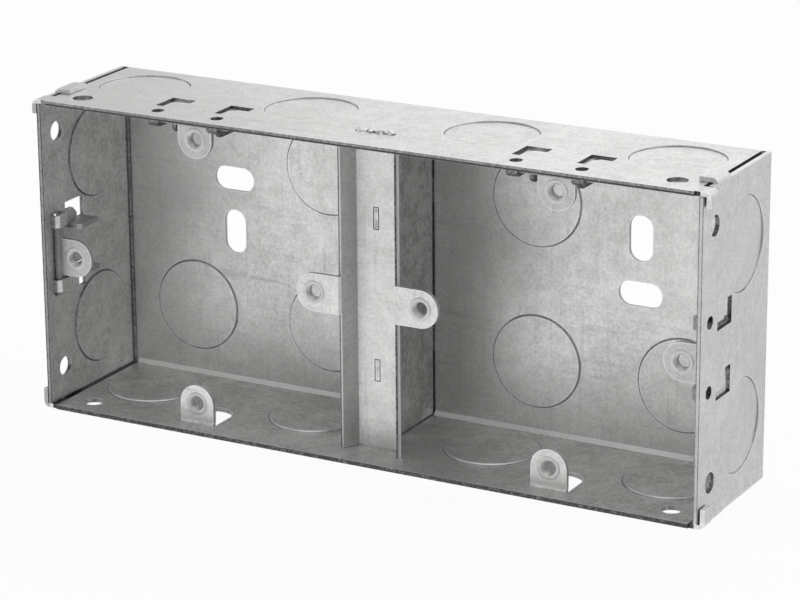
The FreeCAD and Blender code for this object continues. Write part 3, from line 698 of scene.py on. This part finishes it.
def zinc_material(name, brightness, marks=None, metallic=None, highlit=0.6):
    """Galvanised sheet: fine mottling, soft blotches, stains, specks and scratches, a painted highlight on
    the rims, painted shade in the gaps, and the dark marks given, which are partly painted shade.
    """
    steel = steel_settings()
    material = bpy.data.materials.new(name)
    material.use_nodes = True
    tree = material.node_tree
    shader = tree.nodes["Principled BSDF"]
    place = add_node(tree, "ShaderNodeTexCoord").outputs["Object"]
    layers = zinc_layers(tree, place)
    worn = weigh(tree, layers, WEAR_WEIGHTS)
    dark = None
    if marks is not None:
        axes = add_node(tree, "ShaderNodeSeparateXYZ")
        tree.links.new(place, axes.inputs["Vector"])
        dark, mottle = marks(tree, tuple(axes.outputs))
        if mottle is not None:
            worn = mottled(tree, place, worn, mottle)

    def tint(colour, mask, strength, other):
        return blend_colours(tree, math_node(tree, "MULTIPLY", mask, strength), colour, other)

    colour = blend_colours(tree, worn, shade(steel.bright, brightness), shade(steel.dull, brightness))
    colour = tint(colour, layers["stains"], STAIN_STRENGTH, steel.stain)
    colour = tint(colour, layers["pits"], PIT_STRENGTH, steel.speck)
    # Painted highlight: the rims of each piece, where the space inside it is closed, are made brighter
    rims = ramp(tree, openness(tree, steel.highlight_reach, inside=True, only_local=True), EDGE_HIGHLIGHT_LIMITS)
    colour = tint(colour, rims, highlit, steel.rim_highlight)
    if dark is not None:
        strength = add_up(tree, ((layers["grain"], MARK_GRAIN),), MARK_STRENGTH)
        colour = tint(colour, dark, strength, steel.cut_edge_and_shade)
    # Painted shade: gaps and crevices, where the space round a point is closed, are darkened towards the
    # cut-edge colour
    shading = ramp(tree, openness(tree, steel.shade_reach), SHADE_LIMITS)
    colour = tint(colour, shading, SHADE_STRENGTH, steel.cut_edge_and_shade)
    tree.links.new(colour, shader.inputs["Base Color"])

    roughness = add_up(tree, ((worn, steel.rough - steel.smooth),), steel.smooth)
    tree.links.new(roughness, shader.inputs["Roughness"])
    shader.inputs["Metallic"].default_value = steel.metallic if metallic is None else metallic
    bump = add_node(tree, "ShaderNodeBump")
    set_inputs(bump, Strength=RELIEF_STRENGTH, Distance=RELIEF_HEIGHT)
    tree.links.new(weigh(tree, layers, RELIEF_WEIGHTS), bump.inputs["Height"])
    tree.links.new(bump.outputs["Normal"], shader.inputs["Normal"])
    return material


def shear_material(name, dark, light):
    """Dark torn steel mottled between two greys, used for painted shade: the knockout lines, which are partly
    the real shear line, and the shadows by the stake lumps.
    """
    material = bpy.data.materials.new(name)
    material.use_nodes = True
    tree = material.node_tree
    shader = tree.nodes["Principled BSDF"]
    place = add_node(tree, "ShaderNodeTexCoord").outputs["Object"]
    torn = ramp(tree, noise(tree, place, *TORN_NOISE), TORN_LIMITS)
    colour = blend_colours(tree, torn, (dark, dark, dark, 1.0), (light, light, light, 1.0))
    tree.links.new(colour, shader.inputs["Base Color"])
    set_inputs(shader, Metallic=TORN_METALLIC, Roughness=TORN_ROUGHNESS)
    return material


def set_material(piece, material):
    """Gives a piece one material."""
    piece.data.materials.clear()
    piece.data.materials.append(material)


def make_piece(name, shape, material, body):
    """A new piece from a bmesh, in the box's own frame, smooth but for its sharp edges."""
    bmesh.ops.remove_doubles(shape, verts=shape.verts, dist=MERGE_DISTANCE)
    bmesh.ops.recalc_face_normals(shape, faces=shape.faces)
    for edge in shape.edges:
        edge.smooth = edge.calc_face_angle(0.0) < SHARP_ANGLE
    mesh = bpy.data.meshes.new(name)
    shape.to_mesh(mesh)
    shape.free()
    for face in mesh.polygons:
        face.use_smooth = True
    piece = bpy.data.objects.new(name, mesh)
    bpy.context.scene.collection.objects.link(piece)
    set_material(piece, material)
    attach(piece, body)


def spin_profile(shape, points, centre, axis, steps):
    """Turns a closed profile, given as (radius, along), about an axis through a point."""
    axis = Vector(axis).normalized()
    across = axis.orthogonal().normalized()
    verts = [shape.verts.new(centre + across * radius + axis * along) for radius, along in points]
    edges = [shape.edges.new((verts[i], verts[(i + 1) % len(verts)])) for i in range(len(verts))]
    bmesh.ops.spin(shape, geom=verts + edges, cent=centre, axis=axis, angle=2 * math.pi, steps=steps,
                   use_merge=True, use_duplicate=False)


class BACKBOX_OT_zinc(bpy.types.Operator):
    """Give every sheet its galvanised finish"""

    bl_idname = "backbox.zinc"
    bl_label = "Galvanised finish"

    def execute(self, context):
        nodes = frame["nodes"]
        set_material(nodes["box_shell"], zinc_material("shell_zinc", 1.05, shell_marks))
        set_material(nodes["divider_channel"], zinc_material("channel_zinc", 1.0, channel_marks))
        # The partition's zinc is made darker than the shell's, as painted shade
        set_material(nodes["partition_plate"], zinc_material("partition_zinc", 0.82, partition_marks))
        lug_zinc = zinc_material("lug_zinc", 0.77, lug_marks)
        for name in SLIDING_LUGS:
            set_material(nodes[name], lug_zinc)
        return {"FINISHED"}


def thread_shape(mount):
    """The threaded collar of a screw hole, and the bead round its mouth."""
    details = detail_settings()
    pitch = details.thread_pitch
    hole = mount["dims"]["r_mm"] * MM
    core = hole - details.thread_depth
    lug = mount["dims"]["length_mm"] * MM
    length = lug + details.collar_length
    profile = [(hole + THREAD_SEAT, THREAD_START)]
    for turn in range(int(length / pitch)):
        along = THREAD_START + pitch * turn
        for share in THREAD_CREST:
            profile.append((core, along + pitch * share))
        profile.append((hole, along + pitch))
    profile.append((hole, length))
    profile.append((details.collar_radius - COLLAR_TAPER, length))
    profile.append((details.collar_radius, lug - THREAD_SEAT))
    profile.append((hole + THREAD_SEAT, lug - THREAD_SEAT))
    bead = [(hole + width, depth) for width, depth in BEAD_PROFILE]

    inward = -Vector(mount["axis"])
    front = Vector(mount["pos_m"]) - inward * lug / 2
    shape = bmesh.new()
    for points in (profile, bead):
        spin_profile(shape, points, front, inward, details.round_steps // 2)
    return shape


class BACKBOX_OT_threads(bpy.types.Operator):
    """Cut the screw threads, each in a collar plunged through its lug"""

    bl_idname = "backbox.threads"
    bl_label = "Screw threads"

    def execute(self, context):
        material = zinc_material("thread_zinc", 0.72, metallic=0.85, highlit=0.25)
        for mount in frame["record"]["mounts"]:
            if mount["kind"] == "threaded_hole":
                name = mount["name"].replace("_screw", "")
                body = HOLE_BODIES.get(name, "frame")
                make_piece("thread_" + name, thread_shape(mount), material, body)
        return {"FINISHED"}


def knockout_places():
    """The middle of each knockout on the outer faces, and the way into the box."""
    places = []
    for side in (-1, 1):
        for across in LONG_KNOCKOUTS:
            places.append((Vector((across * side, KNOCKOUT_DEPTH, TOP)), Vector((0, 0, -1))))
            places.append((Vector((across * side, KNOCKOUT_DEPTH, BOTTOM)), Vector((0, 0, 1))))
        for level in (-1, 1):
            height = MIDDLE + END_KNOCKOUT_RISE * level
            places.append((Vector((END * side, KNOCKOUT_DEPTH, height)), Vector((-side, 0, 0))))
        for hand, level in ((side, -1), (-side, -1), (-side, 1)):
            across = BAY * side + BACK_KNOCKOUT_ACROSS * hand
            height = MIDDLE + BACK_KNOCKOUT_RISE * level
            places.append((Vector((across, BACK, height)), Vector((0, -1, 0))))
    return places


def ring_profile(inner, outer, inner_height, outer_height):
    """The profile of a low ring between two radii, sunk a little into its sheet."""
    return [(inner, -RING_SUNK), (outer, -RING_SUNK), (outer, outer_height), (inner, inner_height)]


class BACKBOX_OT_shear_lines(bpy.types.Operator):
    """Draw the shoulder and the dark lines round each knockout, inside and outside: partly the torn line that
    the press leaves, and partly painted shade in its gap
    """

    bl_idname = "backbox.shear_lines"
    bl_label = "Knockout lines"

    def execute(self, context):
        details = detail_settings()
        steps = details.round_steps
        step = details.knockout_step
        width = details.line_width
        height = details.line_height
        edge = details.knockout_radius - RING_LAP
        shoulder = details.knockout_radius + SHOULDER_WIDTH
        foot = shoulder - RING_LAP
        rim_ring = ring_profile(edge, shoulder, step - SHOULDER_DROP, 0.0)
        outer_ring = ring_profile(details.knockout_radius - width, edge, BURR_LOW_SIDE, height)
        inner_ring = ring_profile(foot, foot + width, height, BURR_LOW_SIDE)

        rims = bmesh.new()
        lines = bmesh.new()
        for place, inward in knockout_places():
            spin_profile(rims, rim_ring, place + inward * SHEET, inward, steps)
            spin_profile(lines, outer_ring, place + inward * step, -inward, steps)
            spin_profile(lines, inner_ring, place + inward * SHEET, inward, steps)
        make_piece("knockout_rims", rims, zinc_material("rim_zinc", 1.08, rim_marks), "frame")
        # The dark rings are partly the real shear line and partly painted shade in its gap
        make_piece("knockout_lines", lines, shear_material("shear_line", 0.14, 0.5), "frame")
        return {"FINISHED"}


def add_fold(shape, side, level, radius):
    """A bar with a hollow face, along the corner between the back plate and one half of a long wall."""
    corner = Vector((FOLD_START * side, FOLD_CORNER_DEPTH, MIDDLE + FOLD_CORNER_RISE * level))
    forward = Vector((0.0, -1.0, 0.0))
    inward = Vector((0.0, 0.0, -level))
    start = shape.verts.new(corner + forward * radius)
    arc = bmesh.ops.spin(shape, geom=[start], cent=corner + (forward + inward) * radius,
                         axis=forward.cross(inward), angle=-math.pi / 2, steps=FOLD_STEPS,
                         use_duplicate=False)
    last = arc["geom_last"][0]
    chain = [vert for vert in shape.verts if vert.is_wire]
    heel = shape.verts.new(corner)
    shape.edges.new((last, heel))
    shape.edges.new((heel, start))
    face = bmesh.ops.contextual_create(shape, geom=chain + [heel])["faces"][0]
    pushed = bmesh.ops.extrude_face_region(shape, geom=[face], use_keep_orig=True)["geom"]
    moved = [part for part in pushed if isinstance(part, bmesh.types.BMVert)]
    bmesh.ops.translate(shape, verts=moved, vec=(FOLD_LENGTH * side, 0.0, 0.0))


class BACKBOX_OT_folds(bpy.types.Operator):
    """Round the inside of the folds between the back plate and the long walls"""

    bl_idname = "backbox.folds"
    bl_label = "Inner folds"

    def execute(self, context):
        radius = detail_settings().fold_radius
        folds = bmesh.new()
        for level in (-1, 1):
            for side in (-1, 1):
                add_fold(folds, side, level, radius)
        material = zinc_material("fold_zinc", 1.05, metallic=0.65)
        make_piece("inner_folds", folds, material, "frame")
        return {"FINISHED"}


def add_lump(shape, sizes, centre, seed=None):
    """A ball, made rough where a seed is given, stretched to its sizes and set in its place."""
    verts = bmesh.ops.create_icosphere(shape, subdivisions=3, radius=1.0)["verts"]
    if seed is not None:
        for vert in verts:
            vert.co *= 1.0 + LUMP_ROUGHNESS * noise_at(vert.co * LUMP_GRAIN + seed)
    bmesh.ops.scale(shape, verts=verts, vec=sizes)
    bmesh.ops.translate(shape, verts=verts, vec=centre)


class BACKBOX_OT_stakes(bpy.types.Operator):
    """Peen over the ends of the divider's tabs, in a row of rough lumps on each long wall, with dark
    flattened balls between them as painted shadow
    """

    bl_idname = "backbox.stakes"
    bl_label = "Stake marks"

    def execute(self, context):
        width = detail_settings().stake_width
        lumps = bmesh.new()
        shadow_spots = bmesh.new()
        for level, height in ((1, TOP), (-1, BOTTOM)):
            for index, (across, length) in enumerate(STAKE_LUMPS):
                sizes = [width * share for share in (length, *LUMP_SHARES)]
                centre = (across, LUMP_DEPTH + LUMP_STAGGER * (index % 2), height)
                seed = Vector((LUMP_SEED_STEP * index, WALL_SEED_STEP * level, 0.0))
                add_lump(lumps, sizes, centre, seed)
            # Painted shadow: dark flattened balls at the lumps' ends and between them
            for across, length in STAKE_SHADOWS:
                sizes = [width * share for share in (length, *STAKE_SHADOW_SHARES)]
                add_lump(shadow_spots, sizes, (across, STAKE_SHADOW_DEPTH, height))
        make_piece("stake_marks", lumps, zinc_material("stake_zinc", 1.08), "frame")
        make_piece("stake_dents", shadow_spots, shear_material("dent_steel", 0.03, 0.2), "frame")
        return {"FINISHED"}


def white_share(tree, share):
    """The given share for rays from the camera, from metal and through glass, and 0 for the rest."""
    path = add_node(tree, "ShaderNodeLightPath")
    seen = either(tree, path.outputs["Is Camera Ray"], path.outputs["Is Glossy Ray"],
                  path.outputs["Is Transmission Ray"])
    return math_node(tree, "MULTIPLY", seen, share)


def stage_plane(name, width, height):
    """A flat sheet of the stage, made on the ground about the origin."""
    shape = bmesh.new()
    bmesh.ops.create_grid(shape, x_segments=1, y_segments=1, size=0.5)
    bmesh.ops.scale(shape, verts=shape.verts, vec=(width, height, 1.0))
    mesh = bpy.data.meshes.new(name)
    shape.to_mesh(mesh)
    shape.free()
    plane = bpy.data.objects.new(name, mesh)
    bpy.context.scene.collection.objects.link(plane)
    return plane


def make_floor(stage):
    """A plain floor under the box that shows as white and still takes its shadow."""
    floor = stage_plane("floor", stage.floor_size, stage.floor_size)
    floor.location = (0.0, 0.0, CAD_BOUNDS[0][2] - FLOOR_GAP)
    floor.visible_glossy = False
    material = bpy.data.materials.new("pale_floor")
    material.use_nodes = True
    tree = material.node_tree
    shader = tree.nodes["Principled BSDF"]
    shader.inputs["Base Color"].default_value = stage.floor_colour
    shader.inputs["Roughness"].default_value = FLOOR_ROUGHNESS
    glow = add_node(tree, "ShaderNodeEmission")
    glow.inputs["Color"].default_value = WHITE
    mix = add_node(tree, "ShaderNodeMixShader")
    feed(tree, mix.inputs, (white_share(tree, stage.floor_glow), shader.outputs[0], glow.outputs[0]))
    tree.links.new(mix.outputs[0], tree.nodes["Material Output"].inputs["Surface"])
    set_material(floor, material)


def make_flag(name, place, size, grey):
    """A grey card that only the metal sees, turned to face the box."""
    flag = stage_plane(name, *size)
    flag.location = place
    sight = Vector((0.0, 0.0, MIDDLE)) - Vector(place)
    flag.rotation_euler = sight.to_track_quat("Z", "Y").to_euler()
    flag.visible_camera = False
    flag.visible_diffuse = False
    flag.visible_shadow = False
    material = bpy.data.materials.new(name + "_card")
    material.use_nodes = True
    tree = material.node_tree
    card = add_node(tree, "ShaderNodeEmission")
    card.inputs["Color"].default_value = grey
    tree.links.new(card.outputs[0], tree.nodes["Material Output"].inputs["Surface"])
    set_material(flag, material)


def make_world(scene, stage):
    """An even room that shows as white to the camera and in the metal."""
    world = bpy.data.worlds.new("studio_room")
    world.use_nodes = True
    tree = world.node_tree
    strength = math_node(tree, "ADD", white_share(tree, 1.0 - stage.room_light), stage.room_light)
    background = tree.nodes["Background"]
    background.inputs["Color"].default_value = WHITE
    tree.links.new(strength, background.inputs["Strength"])
    scene.world = world


def make_lamp(name, place, size, power):
    """A soft square lamp that faces the box."""
    data = bpy.data.lights.new(name, "AREA")
    data.shape = "SQUARE"
    data.size = size
    data.energy = power
    lamp = bpy.data.objects.new(name, data)
    bpy.context.scene.collection.objects.link(lamp)
    middle = (Vector(CAD_BOUNDS[0]) + Vector(CAD_BOUNDS[1])) / 2
    lamp.location = place
    lamp.rotation_euler = (middle - Vector(place)).to_track_quat("-Z", "Y").to_euler()


def make_camera(scene, stage):
    """The camera at the photograph's angle."""
    data = bpy.data.cameras.new("camera")
    data.sensor_width = SENSOR_WIDTH
    data.lens = stage.lens
    data.clip_start, data.clip_end = CLIP_RANGE
    camera = bpy.data.objects.new("camera", data)
    scene.collection.objects.link(camera)
    place = Vector(stage.camera_place)
    sight = (Vector(stage.camera_target) - place).to_track_quat("-Z", "Y").to_matrix().to_4x4()
    camera.matrix_world = Matrix.Translation(place) @ sight @ Matrix.Rotation(stage.camera_roll, 4, "Z")
    scene.camera = camera


class BACKBOX_OT_stage(bpy.types.Operator):
    """Set the floor, the room, the lamps, the cards and the camera"""

    bl_idname = "backbox.stage"
    bl_label = "Studio"

    def execute(self, context):
        stage = stage_settings()
        scene = context.scene
        scene.view_settings.view_transform = "Standard"
        make_floor(stage)
        make_world(scene, stage)
        for name, place, size, power in LAMPS:
            make_lamp(name, place, size, power)
        for name, place, size, card in FLAGS:
            make_flag(name, place, size, getattr(stage, card))
        make_camera(scene, stage)
        return {"FINISHED"}


STEPS = (
    BACKBOX_OT_zinc,
    BACKBOX_OT_threads,
    BACKBOX_OT_shear_lines,
    BACKBOX_OT_folds,
    BACKBOX_OT_stakes,
    BACKBOX_OT_stage,
)
GROUPS = (
    ("back_box_steel", BackBoxSteel),
    ("back_box_details", BackBoxDetails),
    ("back_box_stage", BackBoxStage),
)


class BACKBOX_PT_panel(bpy.types.Panel):
    """Lists the steps that finish the box, and their settings"""

    bl_idname = "BACKBOX_PT_panel"
    bl_label = "Back box"
    bl_space_type = "VIEW_3D"
    bl_region_type = "UI"
    bl_category = "Back box"

    def draw(self, context):
        for step in STEPS:
            self.layout.operator(step.bl_idname)
        for name, group in GROUPS:
            settings = getattr(context.scene, name)
            for key in group.__annotations__:
                self.layout.prop(settings, key)


def register():
    for name, group in GROUPS:
        bpy.utils.register_class(group)
        setattr(bpy.types.Scene, name, PointerProperty(type=group))
    for step in STEPS:
        bpy.utils.register_class(step)
    bpy.utils.register_class(BACKBOX_PT_panel)


def unregister():
    bpy.utils.unregister_class(BACKBOX_PT_panel)
    for step in reversed(STEPS):
        bpy.utils.unregister_class(step)
    for name, group in reversed(GROUPS):
        delattr(bpy.types.Scene, name)
        bpy.utils.unregister_class(group)


def main():
    register()
    bpy.ops.backbox.zinc()
    bpy.ops.backbox.threads()
    bpy.ops.backbox.shear_lines()
    bpy.ops.backbox.folds()
    bpy.ops.backbox.stakes()
    bpy.ops.backbox.stage()


if __name__ == "__main__":
    main()
